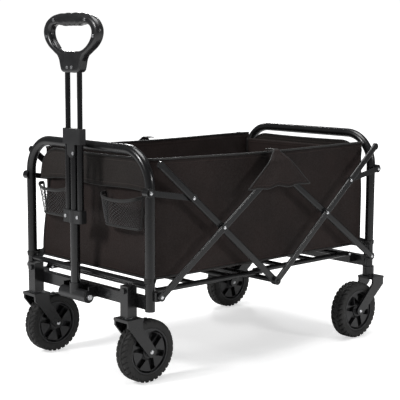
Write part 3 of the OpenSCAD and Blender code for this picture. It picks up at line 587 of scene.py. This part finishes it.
# ------------------------------------------------------------------ cup pockets
def pocket(side, name, node):
    """Open netting with a bound rim, deeper at its mouth than at its foot."""
    low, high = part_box(node)
    back = high.x - 0.0012
    middle = (low.y + high.y) / 2
    half, tall = (high.y - low.y) / 2 - 0.002, high.z - low.z
    depth = high.x - low.x - 0.003
    cells_u, cells_v = 44, 17
    strand = 0.00042

    def at(s, t):
        """s runs round the pocket from one side to the other, and t up it."""
        reach = depth * (0.42 + 0.58 * t ** 0.7)
        wide = half * (0.88 + 0.12 * t)
        a = math.pi * s
        px = back - reach * abs(math.sin(a)) ** 0.55
        py = middle - wide * math.copysign(abs(math.cos(a)) ** 0.8, math.cos(a))
        dip = 0.010 * math.sin(a) ** 2 * t
        ripple = 0.0015 * math.sin(9 * s + 4 * t + side)
        return (px, py + ripple, low.z + 0.003 + (tall - 0.003) * t - dip)

    verts, edges, index = [], [], {}
    for j in range(cells_v + 1):
        for i in range(cells_u + 1):
            if (i + j) % 2 == 0:
                index[i, j] = len(verts)
                verts.append(at(i / cells_u, j / cells_v))
    for (i, j), k in index.items():
        for step in ((1, 1), (-1, 1)):
            other = index.get((i + step[0], j + step[1]))
            if other is not None:
                edges.append((k, other))
    net_verts, net_faces = [], []
    for a, b in ((np.array(verts[k]), np.array(verts[m])) for k, m in edges):
        along = (b - a) / np.linalg.norm(b - a)
        one = np.cross(along, (0.3, 0.2, 0.93))
        one /= np.linalg.norm(one)
        two = np.cross(along, one)
        base = len(net_verts)
        for end in (a - along * 0.0002, b + along * 0.0002):
            for c in range(4):
                angle = c * math.pi / 2
                net_verts.append(end + strand * (math.cos(angle) * one + math.sin(angle) * two))
        for c in range(4):
            n = (c + 1) % 4
            net_faces.append((base + c, base + n, base + 4 + n, base + 4 + c))
        net_faces += [(base + 3, base + 2, base + 1, base), (base + 4, base + 5, base + 6, base + 7)]
    net = piece(name, net_verts, net_faces, NET)
    around = np.linspace(0, 1, 49)
    pipes = [tube_along("rim", [at(k, 1.0) for k in around], 0.0046, 0.45),
             tube_along("foot", [at(k, 0.0) for k in around], 0.003, 0.6)]
    for k in (0.0, 1.0):
        pipes.append(tube_along("edge", [at(k, t) for t in np.linspace(0, 1, 12)], 0.003, 0.6))
    rim = np.array([at(k, 0.0) for k in np.linspace(0.02, 0.98, 33)])
    wall = np.array([(back, p[1], low.z + 0.003) for p in rim])
    share = np.linspace(0, 1, 7)
    bottom = np.stack([rim + (wall - rim) * w for w in share], 1)
    bottom[:, :, 2] -= 0.0012 * np.sin(np.pi * share)[None, :]
    floor = cloth_grid(name + "_bottom", bottom, CANVAS, thick=0.001)
    return net, join(name + "_binding", pipes), floor


for side, tag in ((-1, "left"), (1, "right")):
    net, binding, bottom = pocket(side, f"pocket_net_{tag}", f"cup_pocket_{tag}")
    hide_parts(f"cup_pocket_{tag}")
    declare(bottom)
    for soft in (net, binding, bottom):
        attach(soft, "front_frame")


# ------------------------------------------------------------------ wheels
def tyre(node, name, body):
    """A block tread: two rows of slanted blocks round a centre rib, cut into a rounded section."""
    low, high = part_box(node)
    centre = (low + high) / 2
    radius, half = (high.z - low.z) / 2, (high.y - low.y) / 2
    inner = radius - 0.020
    turns, blocks = 320, 32
    profile = [(inner, -half + 0.001)]
    profile += [(inner + 0.0012, -half + 0.0002), (radius - 0.007, -half)]
    for a in np.linspace(0, math.pi / 2, 5)[1:]:
        profile.append((radius - 0.006 + 0.006 * math.sin(a), -half + 0.006 - 0.006 * math.cos(a)))
    tread = np.linspace(-half + 0.0075, half - 0.0075, 17)
    profile += [(radius, w) for w in tread]
    profile += [(r, -w) for r, w in profile[:7]][::-1]
    profile = np.array(profile)
    a = np.arange(turns) * 2 * math.pi / turns
    r = np.ones((turns, 1)) * profile[None, :, 0]
    w = np.ones((turns, 1)) * profile[None, :, 1]
    angle = a[:, None] * np.ones((1, len(profile)))
    slant = np.abs(w) / half * 0.9
    phase = (angle * blocks / (2 * math.pi) + slant + np.where(w > 0, 0.5, 0.0)) % 1
    groove = smoothstep(0.62, 0.70, phase) * smoothstep(1.0, 0.92, phase)
    groove = groove * smoothstep(0.12, 0.2, np.abs(w) / half)
    ring = np.exp(-((np.abs(w) / half - 0.26) / 0.05) ** 2)
    outer = smoothstep(radius - 0.0075, radius - 0.003, r)
    cut = 0.0034 * np.maximum(groove, 0.8 * ring) * outer
    r = r - cut - 0.0008 * (np.abs(w) / half) ** 4 * outer
    band = np.exp(-((r - (inner + 0.008)) / 0.0012) ** 2) * (np.abs(w) > half * 0.96)
    w = w * (1 - 0.03 * band)
    verts = np.stack([centre.x + r * np.cos(angle), centre.y + w, centre.z + r * np.sin(angle)], 2)
    made = piece(name, verts.reshape(-1, 3), ring_faces(turns, len(profile)), RUBBER)
    made.data.set_sharp_from_angle(angle=math.radians(38))
    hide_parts(node)
    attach(made, body)


def lathe(name, profile, centre, turns=72):
    """A moulded ring from a profile of (radius, y) points turned about the Y axis."""
    verts = [(centre.x + r * math.cos(a), centre.y + w, centre.z + r * math.sin(a))
             for a in np.arange(turns) * 2 * math.pi / turns for r, w in profile]
    return piece(name, verts, ring_faces(turns, len(profile)), MOULD)


def rim(node, name, body):
    """A moulded rim: a plate with six deep wedge pockets on each face, a band and a stepped boss."""
    low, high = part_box(node)
    centre = (low + high) / 2
    radius, half = (high.x - low.x) / 2, (high.y - low.y) / 2
    curve = bpy.data.curves.new(name, "CURVE")
    curve.dimensions, curve.fill_mode = "2D", "BOTH"
    curve.extrude, curve.bevel_depth, curve.bevel_resolution = half - 0.0042, 0.0012, 2

    def spline(points):
        made = curve.splines.new("POLY")
        made.points.add(len(points) - 1)
        for point, place in zip(made.points, points):
            point.co = (*place, 0, 1)
        made.use_cyclic_u = True

    spline([((radius - 0.0022) * math.cos(a), (radius - 0.0022) * math.sin(a))
            for a in np.arange(96) * math.pi / 48])
    spline([(0.0065 * math.cos(a), 0.0065 * math.sin(a)) for a in np.arange(24) * -math.pi / 12])
    near, far, open_half, corner = 0.0215, radius - 0.009, math.radians(21.5), 0.0012
    for k in range(6):
        turn = k * math.pi / 3 + math.radians(14)
        corners = [np.array([near * math.cos(s * 0.16), near * math.sin(s * 0.16)]) for s in (-1, 1)]
        corners += [np.array([far * math.cos(s), far * math.sin(s)])
                    for s in np.linspace(open_half, -open_half, 9)]
        poly = []
        count = len(corners)
        for i, c in enumerate(corners):
            before, after = corners[i - 1], corners[(i + 1) % count]
            back, ahead = np.linalg.norm(before - c), np.linalg.norm(after - c)
            if i in (2, count - 1):
                poly += [c + (before - c) * min(1, 0.004 / back),
                         c + (before - c) * corner / back + (after - c) * corner / ahead,
                         c + (after - c) * min(1, 0.004 / ahead)]
            else:
                cut = 0.12 if i < 2 else 0.168
                poly += [c + (before - c) * cut, c + (after - c) * cut]
        cs, sn = math.cos(turn), math.sin(turn)
        spline([(p[0] * cs - p[1] * sn, p[0] * sn + p[1] * cs) for p in poly])
    holder = bpy.data.objects.new(name, curve)
    bpy.context.scene.collection.objects.link(holder)
    bpy.context.view_layer.update()
    mesh = bpy.data.meshes.new_from_object(holder)
    bpy.data.objects.remove(holder)
    mesh.transform(Matrix(((1, 0, 0, centre.x), (0, 0, -1, centre.y), (0, 1, 0, centre.z),
                           (0, 0, 0, 1))))
    mesh.materials.clear()
    mesh.materials.append(MOULD)
    plate = bpy.data.objects.new(name, mesh)
    bpy.context.scene.collection.objects.link(plate)
    r, w = radius, half
    web = [(0.0064, -0.0022), (r - 0.003, -0.0022), (r - 0.003, 0.0022), (0.0064, 0.0022)]
    band = [(r - 0.0045, -w + 0.0004), (r - 0.0012, -w), (r, -w + 0.0012), (r, w - 0.0012),
            (r - 0.0012, w), (r - 0.0045, w - 0.0004), (r - 0.0048, w - 0.004), (r - 0.0048, -w + 0.004)]
    made = [plate, lathe("web", web, centre), lathe("band", band, centre)]
    for s in (-1, 1):
        boss = [(0.0062, w - 0.004), (0.0062, w - 0.0006), (0.0075, w), (0.0125, w), (0.0138, w - 0.0008),
                (0.0142, w - 0.003), (0.0175, w - 0.0036), (0.0185, w - 0.006)]
        made.append(lathe("boss", [(a, s * b) for a, b in boss], centre, 48))
    wheel = join(name, made)
    wheel.data.polygons.foreach_set("use_smooth", [True] * len(wheel.data.polygons))
    wheel.data.set_sharp_from_angle(angle=math.radians(35))
    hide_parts(node)
    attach(wheel, body)


for end in ("front", "rear"):
    for tag in ("left", "right"):
        tyre(f"{end}_tyre_{tag}", f"{end}_tread_{tag}", f"{end}_wheel_{tag}")
        rim(f"{end}_rim_{tag}", f"{end}_moulded_rim_{tag}", f"{end}_wheel_{tag}")


# ------------------------------------------------------------------ grip
def grip():
    """Two moulded shells: a rounded ring on a neck, with finger bumps under its top bar. Outlines are
    in millimetres from the middle of the foot."""
    low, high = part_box("grip_front_half")[0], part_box("grip_rear_half")[1]
    x0 = (low.x + high.x) / 2
    thick = (high.x - low.x) / 2
    outline = [(0, 140), (30, 140), (56, 139), (80, 133.5), (98.5, 122), (109.5, 105.5), (110.5, 92),
               (104, 76), (90, 62), (71, 50.5), (54, 40), (44.5, 29), (40.5, 18), (38.5, 9), (37, 3.5),
               (33, 0.6), (24, 0), (0, 0)]
    opening = [(0, 112), (20, 112), (40, 112.5), (58, 113.5), (72, 112), (80.5, 104), (82.5, 94), (79, 83),
               (70, 71), (56, 60), (40, 53.5), (20, 51), (0, 51)]
    heart, rounds, seam = 84.0, 40, 0.12

    def polar(points):
        """Distance from the heart of the ring against angle, for half an outline and its mirror."""
        points = np.array(points, float)
        full = np.vstack([points, points[::-1][1:-1] * (-1, 1)])
        angle = np.arctan2(full[:, 1] - heart, full[:, 0])
        reach = np.hypot(full[:, 0], full[:, 1] - heart)
        order = np.argsort(angle)
        fine = np.linspace(-math.pi, math.pi, 721)
        out = np.interp(fine, angle[order], reach[order], period=2 * math.pi)
        for _ in range(rounds):
            out[:-1] = (np.roll(out[:-1], 1) + 2 * out[:-1] + np.roll(out[:-1], -1)) / 4
            out[-1] = out[0]
        return fine, out

    fine, outer = polar(outline)
    _, inner = polar(opening)
    turns, loops = 240, 26
    theta = np.linspace(-math.pi, math.pi, turns, endpoint=False) - math.pi / 2
    theta = (theta + math.pi) % (2 * math.pi) - math.pi
    ro, ri = np.interp(theta, fine, outer), np.interp(theta, fine, inner)
    ya, yb = ro * np.cos(theta), ri * np.cos(theta)
    za, zb = heart + ro * np.sin(theta), heart + ri * np.sin(theta)
    fingers = (zb > 100) * smoothstep(46, 38, np.abs(yb)) * 3.6 * np.abs(np.sin(yb * math.pi / 19)) ** 0.8
    zb = zb - fingers
    neck = smoothstep(40, 15, za)
    power = 2.5 + 3.0 * neck
    depth = thick * 1000 * (1 - 0.02 * neck)
    for way, tag in ((-1, "front"), (1, "rear")):
        phi = np.linspace(0, math.pi, loops)
        c, s = np.cos(phi)[None, :], np.sin(phi)[None, :]
        e = (2 / power)[:, None]
        cc, ss = np.sign(c) * np.abs(c) ** e, np.abs(s) ** e
        my, mz = ((ya + yb) / 2)[:, None], ((za + zb) / 2)[:, None]
        hy, hz = ((ya - yb) / 2)[:, None], ((za - zb) / 2)[:, None]
        rim_gap = 1 - 0.012 * np.exp(-(ss / 0.03) ** 2)
        y = my + hy * cc * rim_gap
        z = mz + hz * cc * rim_gap
        x = way * (seam + (depth - seam)[:, None] * ss)
        verts = np.stack([x0 + x * MM, y * MM, low.z + z * MM], 2).reshape(-1, 3)
        faces = ring_faces(turns, loops)
        if way > 0:
            faces = [face[::-1] for face in faces]
        shell = piece(f"grip_shell_{tag}", verts, faces, GLOSS)
        shell.data.set_sharp_from_angle(angle=math.radians(60))
        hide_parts(f"grip_{tag}_half")
        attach(shell, "grip")


grip()


# ------------------------------------------------------------------ stage
def studio():
    floor = bpy.data.meshes.new("studio_floor")
    builder = bmesh.new()
    bmesh.ops.create_circle(builder, cap_ends=True, segments=96, radius=14)
    builder.to_mesh(floor)
    builder.free()
    ground = bpy.data.objects.new("studio_floor", floor)
    ground.location.z = -0.0004
    bpy.context.scene.collection.objects.link(ground)
    s = Shade("studio_white", Roughness=0.9)
    s.shader.inputs["Base Color"].default_value = (0.9, 0.9, 0.9, 1)
    s.shader.inputs["Specular IOR Level"].default_value = 0.0
    s.shader.inputs["Emission Color"].default_value = (1, 1, 1, 1)
    seen = s.node("LightPath").outputs["Is Camera Ray"]
    away = s.node("VectorMath", s.place(), operation="LENGTH").outputs["Value"]
    glow = s.math("MULTIPLY", seen, s.ramp(away, 0.8, 2.2, 0.58, 1.2))
    s.put(glow, s.shader.inputs["Emission Strength"])
    floor.materials.append(s.material)

    world = bpy.data.worlds.new("studio")
    world.use_nodes = True
    nodes, links = world.node_tree.nodes, world.node_tree.links
    nodes.clear()
    out = nodes.new("ShaderNodeOutputWorld")
    seen, light = nodes.new("ShaderNodeBackground"), nodes.new("ShaderNodeBackground")
    seen.inputs[0].default_value, seen.inputs[1].default_value = (1, 1, 1, 1), 1.05
    light.inputs[0].default_value, light.inputs[1].default_value = (0.96, 0.98, 1, 1), 0.13
    choose, path = nodes.new("ShaderNodeMixShader"), nodes.new("ShaderNodeLightPath")
    links.new(path.outputs["Is Camera Ray"], choose.inputs[0])
    links.new(light.outputs[0], choose.inputs[1])
    links.new(seen.outputs[0], choose.inputs[2])
    links.new(choose.outputs[0], out.inputs[0])
    bpy.context.scene.world = world

    for name, place, size, power in (("key", (-2.9, 0.5, 2.2), 0.6, 60), ("fill", (1.0, -3.4, 1.6), 0.5, 26),
                                     ("top", (0.1, -0.1, 3.2), 1.8, 70), ("rim", (2.0, 2.6, 2.0), 0.7, 34)):
        data = bpy.data.lights.new(name, "AREA")
        data.shape, data.size, data.energy = "SQUARE", size, power
        lamp = bpy.data.objects.new(name, data)
        lamp.location = place
        aim = Vector((0, 0, 0.35)) - Vector(place)
        lamp.rotation_mode = "QUATERNION"
        lamp.rotation_quaternion = aim.to_track_quat("-Z", "Y")
        bpy.context.scene.collection.objects.link(lamp)
    bpy.context.scene.view_settings.view_transform = "Standard"


studio()
